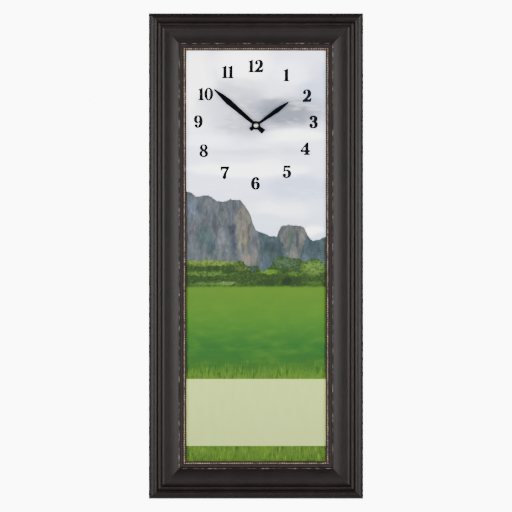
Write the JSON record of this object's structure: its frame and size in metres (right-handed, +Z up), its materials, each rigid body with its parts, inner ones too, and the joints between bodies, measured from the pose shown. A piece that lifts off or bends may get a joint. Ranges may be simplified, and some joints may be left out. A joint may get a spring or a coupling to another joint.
{
  "type": "wall clock",
  "caption": "Tall framed wall clock: moulded dark picture frame with bead sight edge, printed landscape face with numeral ring, lance hands and a quartz movement behind.",
  "frame": {"origin": "the point where the sawtooth hanger sits on its wall nail, on the wall plane", "axes": "+Z up, the longest side; the front faces -Y, so +Y points into the wall; +X to the right seen from the front"},
  "size_m": [0.362, 0.0411, 0.8191],
  "materials": {
    "dark_wood": "satin",
    "bead_composition": "satin",
    "steel_zinc": "satin",
    "clear_rubber": "matte",
    "print": "satin",
    "hardboard": "matte",
    "black_paint": "satin",
    "nickel": "polished",
    "black_rubber": "matte",
    "brass": "satin",
    "black_plastic": "matte",
    "white_plastic": "satin",
    "lamination_steel": "matte",
    "copper_wire": "enamelled",
    "circuit_laminate": "matte",
    "battery_jacket": "satin"
  },
  "bodies": {
    "clock": {"rail_top": "dark_wood", "rail_bottom": "dark_wood", "stile_left": "dark_wood", "stile_right": "dark_wood", "beads_top": "bead_composition", "beads_bottom": "bead_composition", "beads_left": "bead_composition", "beads_right": "bead_composition", "corner_v_nails": "steel_zinc", "framers_points": "steel_zinc", "sawtooth_hanger": "steel_zinc", "hanger_screws": "steel_zinc", "wall_bumpers": "clear_rubber", "printed_face": "print", "backing_board": "hardboard", "rubber_gasket": "black_rubber", "brass_washer": "brass", "hex_nut": "brass", "case_front": "black_plastic", "case_back": "black_plastic", "train_plate": "white_plastic", "stator": "lamination_steel", "coil_core": "lamination_steel", "coil_bobbin": "white_plastic", "coil_winding": "copper_wire", "circuit_board": "circuit_laminate", "driver_chip": "black_plastic", "quartz_crystal": "nickel", "contact_positive": "steel_zinc", "contact_negative": "steel_zinc"},
    "minute": {"minute_hand": "black_paint", "minute_arbor": "brass", "cap_nut": "nickel"},
    "hour": {"hour_hand": "black_paint", "hour_wheel": "white_plastic"},
    "motion": {"motion_wheel": "white_plastic"},
    "knob": {"setting_knob": "black_plastic"},
    "rotor": {"rotor": "white_plastic"},
    "intermediate": {"intermediate_wheel": "white_plastic"},
    "seconds": {"seconds_wheel": "white_plastic"},
    "third": {"third_wheel": "white_plastic"},
    "centre": {"centre_wheel": "white_plastic"},
    "cell": {"battery": "battery_jacket"}
  },
  "joints": [
    {"name": "minute_turn", "type": "hinge", "parent": "clock", "child": "minute", "pos_m": [0, 0, -0.1594], "axis": [0, 1, 0], "continuous": true},
    {"name": "hour_turn", "type": "hinge", "parent": "clock", "child": "hour", "pos_m": [0, 0, -0.1594], "axis": [0, 1, 0], "continuous": true},
    {"name": "motion_turn", "type": "hinge", "parent": "clock", "child": "motion", "pos_m": [0.0072, 0, -0.1594], "axis": [0, 1, 0], "continuous": true},
    {"name": "knob_turn", "type": "hinge", "parent": "clock", "child": "knob", "pos_m": [0.0144, 0, -0.1594], "axis": [0, 1, 0], "continuous": true},
    {"name": "rotor_turn", "type": "hinge", "parent": "clock", "child": "rotor", "pos_m": [-0.01106, 0, -0.14834], "axis": [0, 1, 0], "continuous": true},
    {"name": "intermediate_turn", "type": "hinge", "parent": "clock", "child": "intermediate", "pos_m": [-0.00611, 0, -0.15329], "axis": [0, 1, 0], "continuous": true},
    {"name": "seconds_turn", "type": "hinge", "parent": "clock", "child": "seconds", "pos_m": [0, 0, -0.1594], "axis": [0, 1, 0], "continuous": true},
    {"name": "third_turn", "type": "hinge", "parent": "clock", "child": "third", "pos_m": [0.00601, 0, -0.15339], "axis": [0, 1, 0], "continuous": true},
    {"name": "centre_turn", "type": "hinge", "parent": "clock", "child": "centre", "pos_m": [0, 0, -0.1594], "axis": [0, 1, 0], "continuous": true},
    {"name": "battery_slide", "type": "slide", "parent": "clock", "child": "cell", "axis": [0, 1, 0], "range_m": [0, 0.03]}
  ],
  "couplings": [
    {"joint": "hour_turn", "follows": "minute_turn", "ratio": 0.083333},
    {"joint": "motion_turn", "follows": "minute_turn", "ratio": -0.33333},
    {"joint": "knob_turn", "follows": "minute_turn", "ratio": 1},
    {"joint": "intermediate_turn", "follows": "rotor_turn", "ratio": -0.16667},
    {"joint": "seconds_turn", "follows": "rotor_turn", "ratio": 0.033333},
    {"joint": "third_turn", "follows": "rotor_turn", "ratio": -0.0044444},
    {"joint": "centre_turn", "follows": "rotor_turn", "ratio": 0.00055556}
  ]
}
